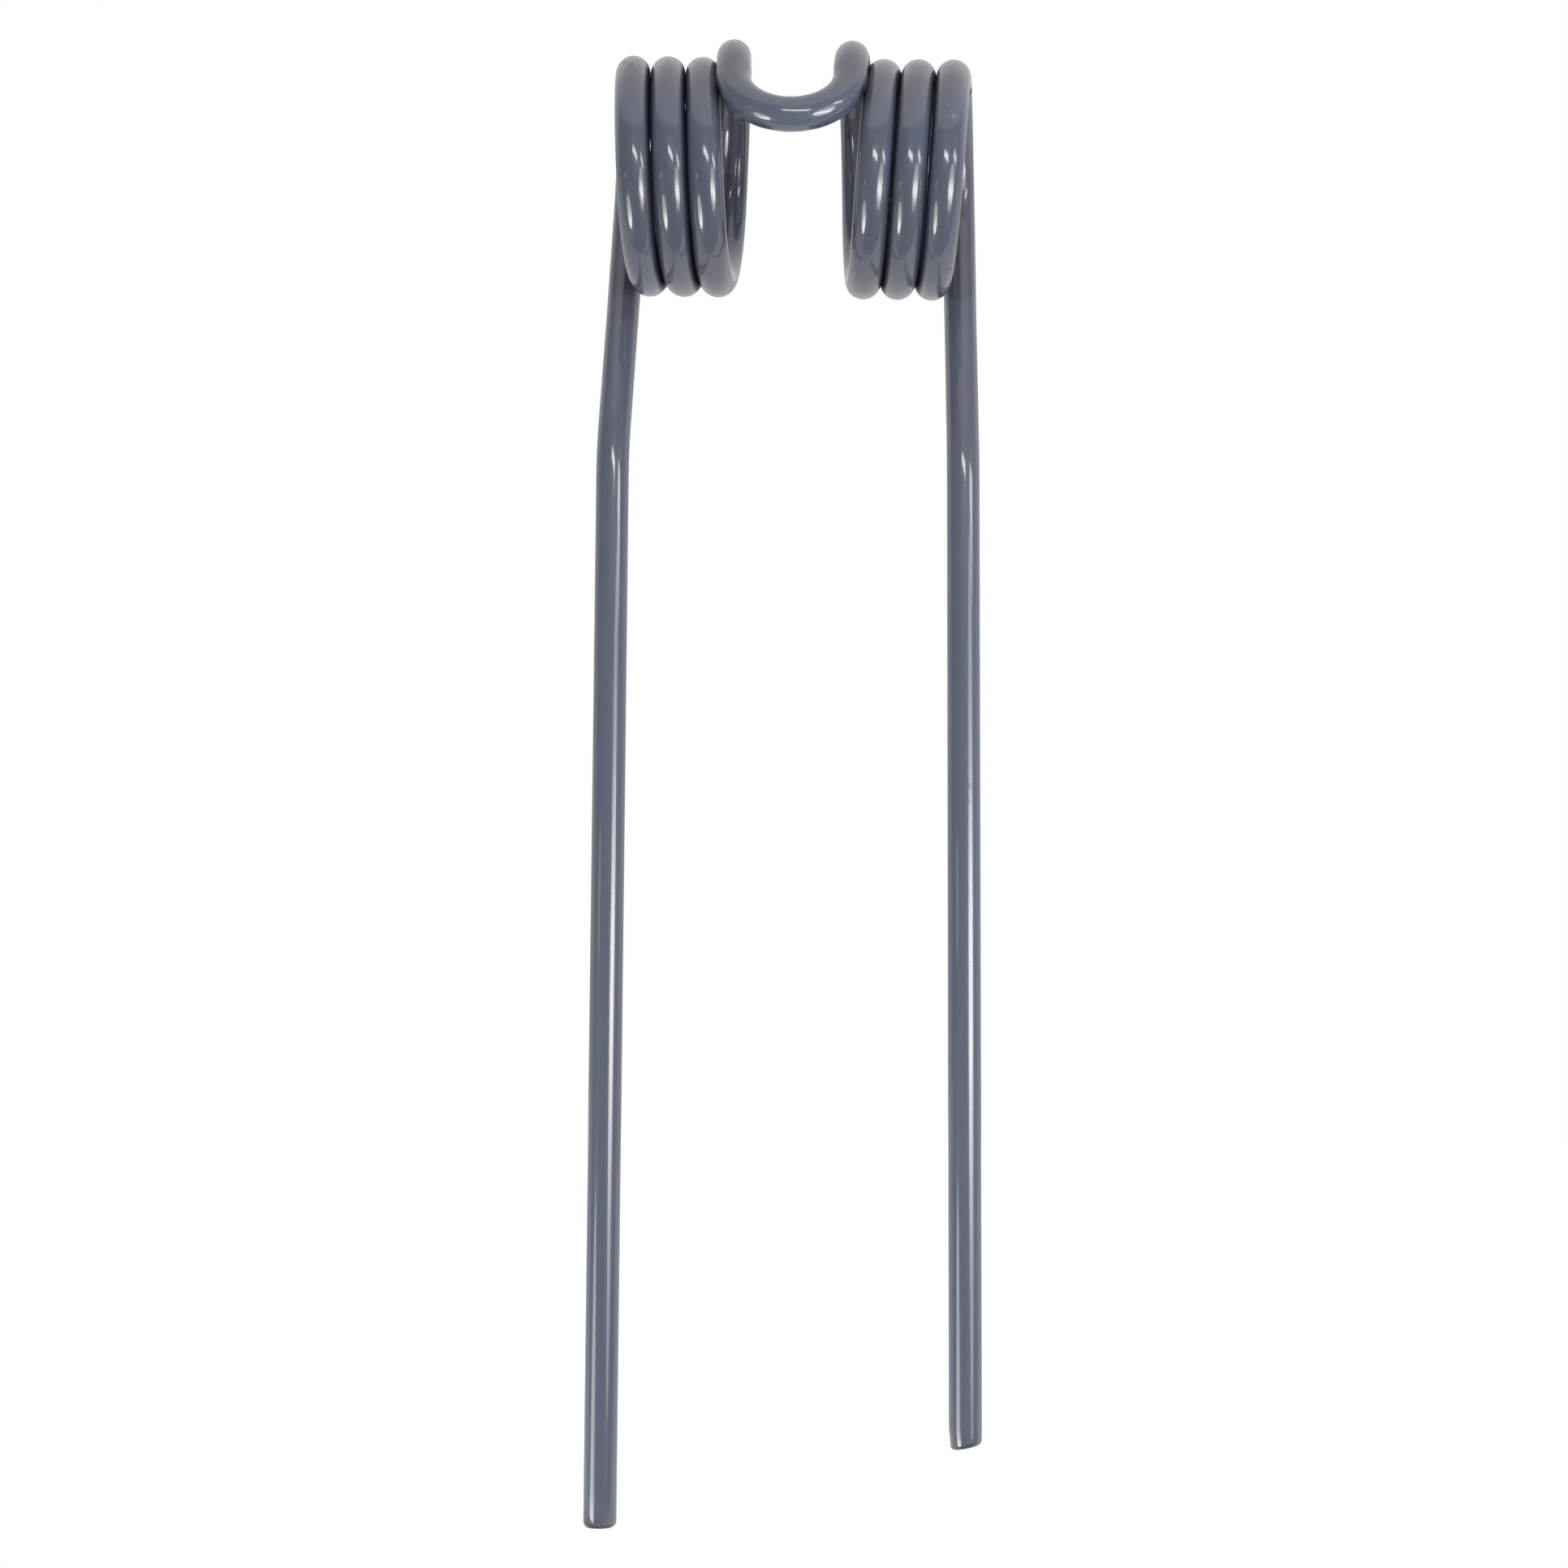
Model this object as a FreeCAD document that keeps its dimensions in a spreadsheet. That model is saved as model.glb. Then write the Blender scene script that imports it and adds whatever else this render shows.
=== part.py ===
"""Double torsion spring tine of a rotary rake, bent from one length of round wire.

Frame: millimetres, +Z up, +X to the right, +Y from the loop side to the back. The origin is the
centre of the clamping loop. Each half of the wire is followed outwards from the loop: round the
loop, up its arm, over the top, down the back into the coil, and out of the coil into the leg.
"""
import FreeCAD
import Part

import math
import os

from FreeCAD import Vector

SIZES = {
    "wire_diameter": 9.7,
    "loop_mean_radius": 16.5,
    "loop_dip_angle": 58.0,
    "loop_taper_angle": 0.8,
    "loop_arm_length": 0.5,
    "arm_front_radius": 21.0,
    "arm_crown_angle": 20.0,
    "arm_back_radius": 33.0,
    "arm_taper_angle": 1.5,
    "coil_mean_radius": 29.2,
    "coil_gap": 0.32,
    "coil_turns": 3.0,
    "coil_arcs_per_turn": 8.0,
    "leg_tilt_angle": 12.0,
    "leg_splay_angle": 1.5,
    "upper_leg_length": 73.0,
    "knee_bend_radius": 70.0,
    "left_leg_length": 308.1,
    "right_leg_length": 283.6,
    "left_leg_splay": -0.8,
    "right_leg_splay": 1.0,
    "right_tip_slope": 13.0,
    "tip_rounding": 1.8,
}

OUTWARD = Vector(-1, 0, 0)
BACKWARD = Vector(0, 1, 0)
FORWARD = Vector(0, -1, 0)
DOWNWARD = Vector(0, 0, -1)
UPWARD = Vector(0, 0, 1)


def make_sheet(document):
    """Store the driving dimensions as plain numbers with aliases."""
    sheet = document.addObject("Spreadsheet::Sheet", "Sizes")
    for row, (alias, value) in enumerate(SIZES.items(), start=1):
        sheet.set(f"A{row}", alias)
        sheet.set(f"B{row}", str(value))
        sheet.setAlias(f"B{row}", alias)
    document.recompute()
    return sheet


def leaning(main, aside, degrees):
    """Unit direction that leans from one direction towards another, square to it."""
    angle = math.radians(degrees)
    return main * math.cos(angle) + aside * math.sin(angle)


class WireLine:
    """Centre line of a bent wire, laid piece by piece from one end, each tangent to the last."""

    def __init__(self, start, direction):
        self.point = start
        self.direction = direction
        self.edges = []

    def straight(self, length):
        """Run on for a length."""
        end = self.point + self.direction * length
        self.edges.append(Part.LineSegment(self.point, end).toShape())
        self.point = end

    def bend(self, direction, radius):
        """Turn on a round arc until the wire runs in the given direction."""
        turn = self.direction.getAngle(direction)
        side = (direction - self.direction * self.direction.dot(direction)).normalize()
        centre = self.point + side * radius
        middle = centre + (self.direction * math.sin(turn / 2) - side * math.cos(turn / 2)) * radius
        end = centre + (self.direction * math.sin(turn) - side * math.cos(turn)) * radius
        self.edges.append(Part.Arc(self.point, middle, end).toShape())
        self.point = end
        self.direction = direction

    def straight_to_bend(self, length, direction, radius):
        """Run to a bend whose corner lies at a length, then turn there; return the set-back."""
        setback = radius * math.tan(self.direction.getAngle(direction) / 2)
        self.straight(length - setback)
        self.bend(direction, radius)
        return setback


def coil_rise(sizes, angle):
    """Sideways travel of the coil over an angle in degrees."""
    return (sizes.wire_diameter + sizes.coil_gap) * angle / 360


def coil_lean(sizes, step):
    """Lean of the coil's wire in degrees that makes flat arcs of one step gain the right pitch."""
    half = math.radians(step) / 2
    flat = 2 * sizes.coil_mean_radius * math.sin(half)
    return math.degrees(math.atan2(coil_rise(sizes, step) * math.cos(half), flat))


def arc_radius(sizes, step):
    """Radius of one flat arc of the coil."""
    half = math.radians(step) / 2
    lean = math.radians(coil_lean(sizes, step))
    chord = math.hypot(2 * sizes.coil_mean_radius * math.sin(half), coil_rise(sizes, step))
    return chord / (2 * math.cos(lean) * math.sin(half))


def lay_loop_and_arm(sizes):
    """Centre line from the middle of the loop, up the arm and down the back to the coil."""
    dip = leaning(FORWARD, DOWNWARD, sizes.loop_dip_angle)
    line = WireLine(dip * sizes.loop_mean_radius, OUTWARD)
    line.bend(leaning(dip * -1, OUTWARD, sizes.loop_taper_angle), sizes.loop_mean_radius)
    line.straight(sizes.loop_arm_length)
    crown = leaning(BACKWARD, UPWARD, sizes.arm_crown_angle)
    line.bend(leaning(crown, OUTWARD, sizes.arm_taper_angle), sizes.arm_front_radius)
    line.bend(leaning(DOWNWARD, OUTWARD, sizes.arm_taper_angle), sizes.arm_back_radius)
    return line


def lay_coil(line, sizes):
    """Wind the coil outwards from its back, as a chain of equal flat arcs tangent to each other."""
    whole = 360 * sizes.coil_turns + sizes.leg_tilt_angle
    count = math.ceil(whole * sizes.coil_arcs_per_turn / 360)
    step = whole / count
    for number in range(1, count + 1):
        turned = math.radians(step * number)
        around = DOWNWARD * math.cos(turned) + FORWARD * math.sin(turned)
        lean = coil_lean(sizes, step) if number < count else sizes.leg_splay_angle
        line.bend(leaning(around, OUTWARD, lean), arc_radius(sizes, step))
    return line


def half_line(sizes, splay, length):
    """Centre line of one half of the wire, drawn for the left side."""
    line = lay_coil(lay_loop_and_arm(sizes), sizes)
    lower = leaning(DOWNWARD, OUTWARD, splay)
    setback = line.straight_to_bend(sizes.upper_leg_length, lower, sizes.knee_bend_radius)
    line.straight(length - setback)
    return line


def mirrored(line):
    """Edges of a centre line drawn for the left side, moved to the right side."""
    return [edge.mirror(Vector(0, 0, 0), Vector(1, 0, 0)) for edge in line.edges]


def add_shape(document, name, shape):
    """Put a computed shape into the document."""
    feature = document.addObject("Part::Feature", name)
    feature.Shape = shape
    return feature


def tip_overrun(sizes):
    """Extra length that the sloped cut of the right tip needs on its long side."""
    return sizes.wire_diameter / 2 * math.tan(math.radians(sizes.right_tip_slope))


def sweep_wire(document, left, right):
    """Sweep the round wire along the whole centre line, from the left tip to the right one."""
    edges = Part.__sortEdges__(left.edges + mirrored(right))
    spine = add_shape(document, "CentreLine", Part.Wire(edges))
    section = document.addObject("Part::Circle", "WireSection")
    section.setExpression("Radius", "Sizes.wire_diameter / 2")
    section.Placement = FreeCAD.Placement(left.point, FreeCAD.Rotation(Vector(0, 0, 1), left.direction))
    sweep = document.addObject("Part::Sweep", "BentWire")
    sweep.Sections = [section]
    sweep.Spine = (spine, [f"Edge{number}" for number in range(1, len(edges) + 1)])
    sweep.Solid = True
    sweep.Frenet = False
    document.recompute()
    return sweep


def cut_right_tip(document, sizes, wire, tip):
    """Cut the right leg off at a slope, long side towards the middle of the tine."""
    block = document.addObject("Part::Box", "TipBlock")
    for side in ("Length", "Width", "Height"):
        block.setExpression(side, "4 * Sizes.wire_diameter")
    half = 2 * sizes.wire_diameter
    slope = FreeCAD.Rotation(Vector(0, 1, 0), -sizes.right_tip_slope)
    block.Placement = FreeCAD.Placement(tip + slope.multVec(Vector(-half, -half, -2 * half)), slope)
    cut = document.addObject("Part::Cut", "TrimmedWire")
    cut.Base = wire
    cut.Tool = block
    document.recompute()
    return cut


def edges_at(shape, point, reach):
    """Numbers of the edges that lie wholly within a reach of a point."""
    numbers = []
    for number, edge in enumerate(shape.Edges, start=1):
        if all(edge.valueAt(value).distanceToPoint(point) < reach
               for value in (edge.FirstParameter, edge.LastParameter)):
            numbers.append(number)
    return numbers


def round_tips(document, sizes, wire, tips):
    """Take the sharp rim off both tips."""
    rounded = document.addObject("Part::Fillet", "RoundedWire")
    rounded.Base = wire
    rims = [number for tip in tips for number in edges_at(wire.Shape, tip, sizes.wire_diameter)]
    rounded.Edges = [(number, sizes.tip_rounding, sizes.tip_rounding) for number in rims]
    document.recompute()
    return rounded


def check(document):
    """Stop if any object of the document failed."""
    for item in document.Objects:
        if "Invalid" in item.State or "Error" in item.State:
            raise RuntimeError(f"{item.Name} failed: {item.State}")


def export(node):
    """Write one finished node, after testing its solid."""
    shape = node.Shape
    if shape.isNull() or not shape.isValid() or len(shape.Solids) != 1:
        raise RuntimeError(f"{node.Label} has no single valid solid")
    os.makedirs("parts", exist_ok=True)
    shape.exportStep(f"parts/{node.Label}.step")


def main():
    """Build the tine, check it and write its file."""
    document = FreeCAD.newDocument("RakeTine")
    sizes = make_sheet(document)
    left = half_line(sizes, sizes.left_leg_splay, sizes.left_leg_length)
    right_length = sizes.right_leg_length + tip_overrun(sizes)
    right = half_line(sizes, sizes.right_leg_splay, right_length)
    wire = sweep_wire(document, left, right)
    right_tip = right.point - right.direction * tip_overrun(sizes)
    right_tip.x = -right_tip.x
    trimmed = cut_right_tip(document, sizes, wire, right_tip)
    tine = round_tips(document, sizes, trimmed, [left.point, right_tip])
    tine.Label = "tine_wire"
    document.recompute()
    check(document)
    export(tine)
    length = sum(edge.Length for edge in left.edges + right.edges)
    print("wire length", round(length, 2), "volume", round(tine.Shape.Volume, 1),
          "section times length", round(math.pi * sizes.wire_diameter ** 2 / 4 * length, 1))
    print("box", tine.Shape.BoundBox, "faces", len(tine.Shape.Faces))


main()
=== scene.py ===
"""Dressed model of a rotary rake tine: a double torsion spring bent from one painted round wire.

The wire is bent here as it is on the bench. A ring the size of the wire starts at the middle of the
clamping loop and is drawn out along each half in turn: round the loop, over the arm, down the back,
round the coil and down the leg to its tip. Everything is in metres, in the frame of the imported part.
"""
import logging
import math
from dataclasses import dataclass, field
from enum import Enum

import bmesh
import bpy
from mathutils import Matrix, Quaternion, Vector


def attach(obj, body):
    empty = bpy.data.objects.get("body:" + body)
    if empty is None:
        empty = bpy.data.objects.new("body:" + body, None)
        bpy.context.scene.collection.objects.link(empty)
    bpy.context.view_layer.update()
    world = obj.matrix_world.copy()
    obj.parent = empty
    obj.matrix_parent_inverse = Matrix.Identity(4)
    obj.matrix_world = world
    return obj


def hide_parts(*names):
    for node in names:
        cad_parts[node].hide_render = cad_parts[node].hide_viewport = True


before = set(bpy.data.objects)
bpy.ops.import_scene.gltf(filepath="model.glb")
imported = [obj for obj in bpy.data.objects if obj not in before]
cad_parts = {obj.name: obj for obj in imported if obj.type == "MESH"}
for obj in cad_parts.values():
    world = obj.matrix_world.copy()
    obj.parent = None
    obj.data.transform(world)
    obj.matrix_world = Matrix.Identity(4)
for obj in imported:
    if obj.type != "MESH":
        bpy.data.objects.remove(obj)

logging.basicConfig(level=logging.INFO, format="%(levelname)s %(message)s")
log = logging.getLogger("tine")

Colour = tuple[float, float, float, float]
Place = tuple[float, float, float]
Socket = bpy.types.NodeSocket
Term = float | Socket

BACKWARD = Vector((0.0, 1.0, 0.0))
FORWARD = Vector((0.0, -1.0, 0.0))
DOWNWARD = Vector((0.0, 0.0, -1.0))
UPWARD = Vector((0.0, 0.0, 1.0))
WHITE = (1.0, 1.0, 1.0, 1.0)


class Side(Enum):
    """The two halves of the wire, each with the sign of its outward direction along X."""

    LEFT = -1.0
    RIGHT = 1.0

    def outward(self) -> Vector:
        """Direction away from the middle of the tine."""
        return Vector((self.value, 0.0, 0.0))


def leaning(main: Vector, aside: Vector, degrees: float) -> Vector:
    """Find a direction that leans from one direction towards another.

    Args:
        main: unit direction to start from.
        aside: unit direction square to it.
        degrees: how far to lean.

    Returns:
        The unit direction between the two.
    """
    angle = math.radians(degrees)
    return main * math.cos(angle) + aside * math.sin(angle)


def clear_selection() -> None:
    """Leave object mode with nothing selected."""
    if bpy.context.object and bpy.context.object.mode != "OBJECT":
        bpy.ops.object.mode_set(mode="OBJECT")
    bpy.ops.object.select_all(action="DESELECT")


def activate(piece: bpy.types.Object) -> None:
    """Make one object the only one selected and active.

    Args:
        piece: the object.
    """
    clear_selection()
    piece.select_set(True)
    bpy.context.view_layer.objects.active = piece


def select_rim() -> None:
    """Select the edges round the face that closes a leg, the one with the most corners."""
    mesh = bpy.context.object.data
    bm = bmesh.from_edit_mesh(mesh)
    bpy.ops.mesh.select_all(action="DESELECT")
    end = max(bm.faces, key=lambda face: len(face.verts))
    for edge in end.edges:
        edge.select_set(True)
    bm.select_flush_mode()
    bmesh.update_edit_mesh(mesh)


@dataclass
class TipCut:
    """How one end of the wire was cut off and rounded.

    Attributes:
        slope: tilt of the cut in degrees, long side towards the middle of the tine.
        overrun: extra length in metres drawn past the middle of a sloping cut.
        rounding: radius in metres of the rim of the cut.
        last_stretch: length in metres of the last stretch of wire before the cut.
        pinches: stretches at the very end, where the shears bit, each with its length in metres and
            how many times as wide the wire gets by its end.
    """

    slope: float = 0.0
    overrun: float = 0.0
    rounding: float = 0.0018
    last_stretch: float = 0.012
    pinches: tuple[tuple[float, float], ...] = ()


@dataclass
class LegSizes:
    """Sizes of one leg below its knee.

    Attributes:
        length: distance in metres from the corner of the knee to the middle of the cut.
        splay: lean in degrees away from the middle of the tine.
        cut: how its end was cut off.
    """

    length: float
    splay: float
    cut: TipCut


@dataclass
class WireSizes:
    """Sizes of the bent wire, in metres and degrees, measured to the middle of the wire.

    Attributes:
        wire_radius: half the thickness of the painted wire.
        loop_radius: radius of the clamping loop.
        loop_dip: how far the loop hangs down from level.
        loop_taper: lean away from the middle where the wire leaves the loop.
        loop_arm: straight stretch after the loop.
        arm_front_radius: radius of the arm's first bend, up over the front.
        arm_crown: climb of the wire between the arm's two bends.
        arm_back_radius: radius of the arm's second bend, down the back.
        arm_taper: lean of the arm away from the middle.
        coil_radius: radius of a coil.
        coil_pitch: sideways distance between turns.
        coil_turns: whole turns of a coil.
        coil_arcs_per_turn: flat arcs that make one turn.
        coil_widening: how many times wider than it is thick the wire is in the coils, where paint fills
            the grooves between the turns.
        coil_run_out: first stretch of the leg, on which the wire gets round again.
        leg_tilt: how far the coil goes on past whole turns.
        leg_splay: lean of the upper leg away from the middle.
        upper_leg: distance from the coil to the corner of the knee.
        knee_radius: radius of the knee.
    """

    wire_radius: float = 0.00485
    loop_radius: float = 0.0165
    loop_dip: float = 58.0
    loop_taper: float = 0.8
    loop_arm: float = 0.0005
    arm_front_radius: float = 0.021
    arm_crown: float = 20.0
    arm_back_radius: float = 0.033
    arm_taper: float = 1.5
    coil_radius: float = 0.0292
    coil_pitch: float = 0.01002
    coil_turns: float = 3.0
    coil_arcs_per_turn: int = 8
    coil_widening: float = 1.034
    coil_run_out: float = 0.03
    leg_tilt: float = 12.0
    leg_splay: float = 1.5
    upper_leg: float = 0.073
    knee_radius: float = 0.070


class WireBender:
    """Draws a wire's skin out of its open ring, one straight or round bend at a time.

    The ring's edges stay selected in edit mode, so each step goes on from the last.
    """

    def __init__(self, start: Vector, direction: Vector, ring_step: float, longest: float) -> None:
        """Start at the ring of the wire.

        Args:
            start: centre of the ring.
            direction: unit direction in which the wire leaves it.
            ring_step: angle in degrees between rings round a bend.
            longest: longest stretch in metres between two rings on a straight.
        """
        self.point = start
        self.direction = direction
        self.ring_step = ring_step
        self.longest = longest

    def straight(self, length: float, widening: float = 1.0) -> None:
        """Draw the wire straight on.

        Args:
            length: how far, in metres.
            widening: how many times wider the wire gets sideways on the way.
        """
        count = max(1, math.ceil(length / self.longest))
        step = self.direction * (length / count)
        for _ in range(count):
            bpy.ops.mesh.extrude_region_move(TRANSFORM_OT_translate={"value": step})
            self.point = self.point + step
            self.widen(widening ** (1.0 / count))

    def bend(self, direction: Vector, radius: float, widening: float = 1.0) -> None:
        """Draw the wire round an arc until it runs in a direction.

        Args:
            direction: unit direction after the bend.
            radius: radius of the bend to the middle of the wire.
            widening: how many times wider the wire gets sideways on the way.
        """
        turn = self.direction.angle(direction)
        inward = (direction - self.direction * self.direction.dot(direction)).normalized()
        centre = self.point + inward * radius
        axis = self.direction.cross(inward).normalized()
        steps = max(1, math.ceil(math.degrees(turn) / self.ring_step))
        parts = steps if widening != 1.0 else 1
        for part in range(1, parts + 1):
            bpy.ops.mesh.spin(steps=steps // parts, angle=-turn / parts, center=centre, axis=axis,
                              dupli=False)
            so_far = turn * part / parts
            ahead = self.direction * math.sin(so_far) - inward * math.cos(so_far)
            self.point = centre + ahead * radius
            self.widen(widening ** (1.0 / parts))
        self.direction = direction

    def widen(self, factor: float, held: Vector | None = None) -> None:
        """Stretch or squeeze the open ring along X.

        Args:
            factor: how many times as wide it gets.
            held: step from its centre to the point that stays in place, or none for the centre.
        """
        if factor != 1.0:
            centre = self.point if held is None else self.point + held
            bpy.ops.transform.resize(value=(factor, 1.0, 1.0), center_override=centre)

    def straight_to_bend(self, length: float, direction: Vector, radius: float) -> float:
        """Draw to a bend whose corner lies at a length, then go round it.

        Args:
            length: distance to the corner that the straight runs would make.
            direction: unit direction after the bend.
            radius: radius of the bend.

        Returns:
            How far before the corner the bend starts.
        """
        setback = radius * math.tan(self.direction.angle(direction) / 2)
        self.straight(length - setback)
        self.bend(direction, radius)
        return setback


@dataclass
class TineWire:
    """The whole tine: one length of round wire with a loop, two coils and two legs.

    Attributes:
        sizes: sizes that both halves share.
        legs: sizes of each leg.
        ring_points: corners of the ring that is drawn out.
        ring_step: angle in degrees between rings round a bend.
        longest_stretch: longest stretch in metres between two rings on a straight.
        rim_steps: steps of the rounding at the cut ends.
        weld_distance: distance in metres up to which points of the two halves are joined.
        smooth_angle: angle in degrees up to which two faces are shaded as one.
    """

    sizes: WireSizes = field(default_factory=WireSizes)
    legs: dict[Side, LegSizes] = field(default_factory=lambda: {
        Side.LEFT: LegSizes(length=0.3081, splay=-0.8, cut=TipCut()),
        Side.RIGHT: LegSizes(length=0.2836, splay=1.0, cut=TipCut(
            slope=13.0, overrun=0.003, rounding=0.0013,
            pinches=((0.0014, 0.998), (0.0014, 0.993), (0.0014, 0.984), (0.0062, 0.94)))),
    })
    ring_points: int = 48
    ring_step: float = 3.7
    longest_stretch: float = 0.02
    rim_steps: int = 5
    weld_distance: float = 1e-6
    smooth_angle: float = 50.0

    def build(self) -> bpy.types.Object:
        """Bend both halves and join them at the loop.

        Returns:
            The wire as one closed skin.
        """
        halves = [self.bend_half(side) for side in Side]
        clear_selection()
        for half in halves:
            half.select_set(True)
        wire = halves[0]
        bpy.context.view_layer.objects.active = wire
        bpy.ops.object.join()
        wire.name = "painted_tine_wire"
        activate(wire)
        bpy.ops.object.mode_set(mode="EDIT")
        bpy.ops.mesh.select_all(action="SELECT")
        bpy.ops.mesh.remove_doubles(threshold=self.weld_distance)
        bpy.ops.mesh.normals_make_consistent(inside=False)
        bpy.ops.object.mode_set(mode="OBJECT")
        bpy.ops.object.shade_smooth_by_angle(angle=math.radians(self.smooth_angle))
        return wire

    def bend_half(self, side: Side) -> bpy.types.Object:
        """Bend one half of the wire, from the middle of the loop to the tip.

        Args:
            side: which half.

        Returns:
            The half as an object, open at the loop and closed at the tip.
        """
        sizes = self.sizes
        start = leaning(FORWARD, DOWNWARD, sizes.loop_dip) * sizes.loop_radius
        clear_selection()
        bpy.ops.mesh.primitive_circle_add(
            vertices=self.ring_points, radius=sizes.wire_radius, fill_type="NOTHING",
            location=start, rotation=(0.0, math.radians(90.0), 0.0))
        half = bpy.context.object
        half.name = f"{side.name.lower()}_half"
        bpy.ops.object.transform_apply(location=True, rotation=True, scale=True)
        bpy.ops.object.mode_set(mode="EDIT")
        bpy.ops.mesh.select_mode(type="EDGE")
        bpy.ops.mesh.select_all(action="SELECT")
        bender = WireBender(start, side.outward(), self.ring_step, self.longest_stretch)
        self.bend_loop_and_arm(bender, side)
        self.wind_coil(bender, side)
        tip = self.draw_leg(bender, side)
        self.cut_tip(tip, side)
        bpy.ops.object.mode_set(mode="OBJECT")
        log.info("%s half bent, tip at %s", side.name.lower(), [round(part, 4) for part in tip])
        return half

    def bend_loop_and_arm(self, bender: WireBender, side: Side) -> None:
        """Go round the loop, over the arm and down the back to the coil.

        Args:
            bender: the bender at the middle of the loop.
            side: which half.
        """
        sizes, outward = self.sizes, side.outward()
        dip = leaning(FORWARD, DOWNWARD, sizes.loop_dip)
        crown = leaning(BACKWARD, UPWARD, sizes.arm_crown)
        bender.bend(leaning(-dip, outward, sizes.loop_taper), sizes.loop_radius)
        bender.straight(sizes.loop_arm)
        bender.bend(leaning(crown, outward, sizes.arm_taper), sizes.arm_front_radius)
        bender.bend(leaning(DOWNWARD, outward, sizes.arm_taper), sizes.arm_back_radius,
                    sizes.coil_widening)

    def wind_coil(self, bender: WireBender, side: Side) -> None:
        """Wind the coil outwards from its back as equal flat arcs, each tangent to the last.

        Args:
            bender: the bender at the back of the coil.
            side: which half.
        """
        sizes, outward = self.sizes, side.outward()
        whole = 360.0 * sizes.coil_turns + sizes.leg_tilt
        count = math.ceil(whole * sizes.coil_arcs_per_turn / 360.0)
        step = whole / count
        half = math.radians(step) / 2
        flat = 2 * sizes.coil_radius * math.sin(half)
        rise = sizes.coil_pitch * step / 360.0
        lean = math.atan2(rise * math.cos(half), flat)
        radius = math.hypot(flat, rise) / (2 * math.cos(lean) * math.sin(half))
        for number in range(1, count + 1):
            around = leaning(DOWNWARD, FORWARD, step * number)
            aside = math.degrees(lean) if number < count else sizes.leg_splay
            bender.bend(leaning(around, outward, aside), radius)

    def draw_leg(self, bender: WireBender, side: Side) -> Vector:
        """Draw the leg from the coil over its knee to the tip.

        Args:
            bender: the bender where the wire leaves the coil.
            side: which half.

        Returns:
            The middle of the leg's end, where it will be cut.
        """
        sizes, leg, cut = self.sizes, self.legs[side], self.legs[side].cut
        lower = leaning(DOWNWARD, side.outward(), leg.splay)
        bender.straight(sizes.coil_run_out, 1.0 / sizes.coil_widening)
        setback = bender.straight_to_bend(sizes.upper_leg - sizes.coil_run_out, lower, sizes.knee_radius)
        bender.straight(leg.length - setback - cut.last_stretch)
        tip = bender.point + bender.direction * cut.last_stretch
        pinched = sum(length for length, _ in cut.pinches)
        bender.straight(cut.last_stretch + cut.overrun - pinched)
        for length, factor in cut.pinches:
            bender.straight(length)
            bender.widen(factor, side.outward() * sizes.wire_radius)
        return tip

    def cut_tip(self, tip: Vector, side: Side) -> None:
        """Cut the leg off, close the end and round its rim.

        Args:
            tip: middle of the cut.
            side: which half.
        """
        cut = self.legs[side].cut
        if cut.slope:
            face = Matrix.Rotation(math.radians(-cut.slope), 3, "Y") @ DOWNWARD
            bpy.ops.mesh.select_all(action="SELECT")
            bpy.ops.mesh.bisect(plane_co=tip, plane_no=face, use_fill=True, clear_outer=True)
        else:
            bpy.ops.mesh.edge_face_add()
        select_rim()
        bpy.ops.mesh.bevel(offset=cut.rounding, segments=self.rim_steps, affect="EDGES",
                           clamp_overlap=True)


@dataclass(frozen=True)
class Ramp:
    """A number that goes smoothly from one level to another while a value grows.

    Attributes:
        start: value up to which it stays at its first level.
        end: value from which it stays at its last level.
        first: its first level.
        last: its last level.
    """

    start: float
    end: float
    first: float = 0.0
    last: float = 1.0


@dataclass(frozen=True)
class Grain:
    """Soft noise of one coarseness.

    Attributes:
        size: size of its patches in metres.
        detail: how many finer layers it has.
    """

    size: float
    detail: float


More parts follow.
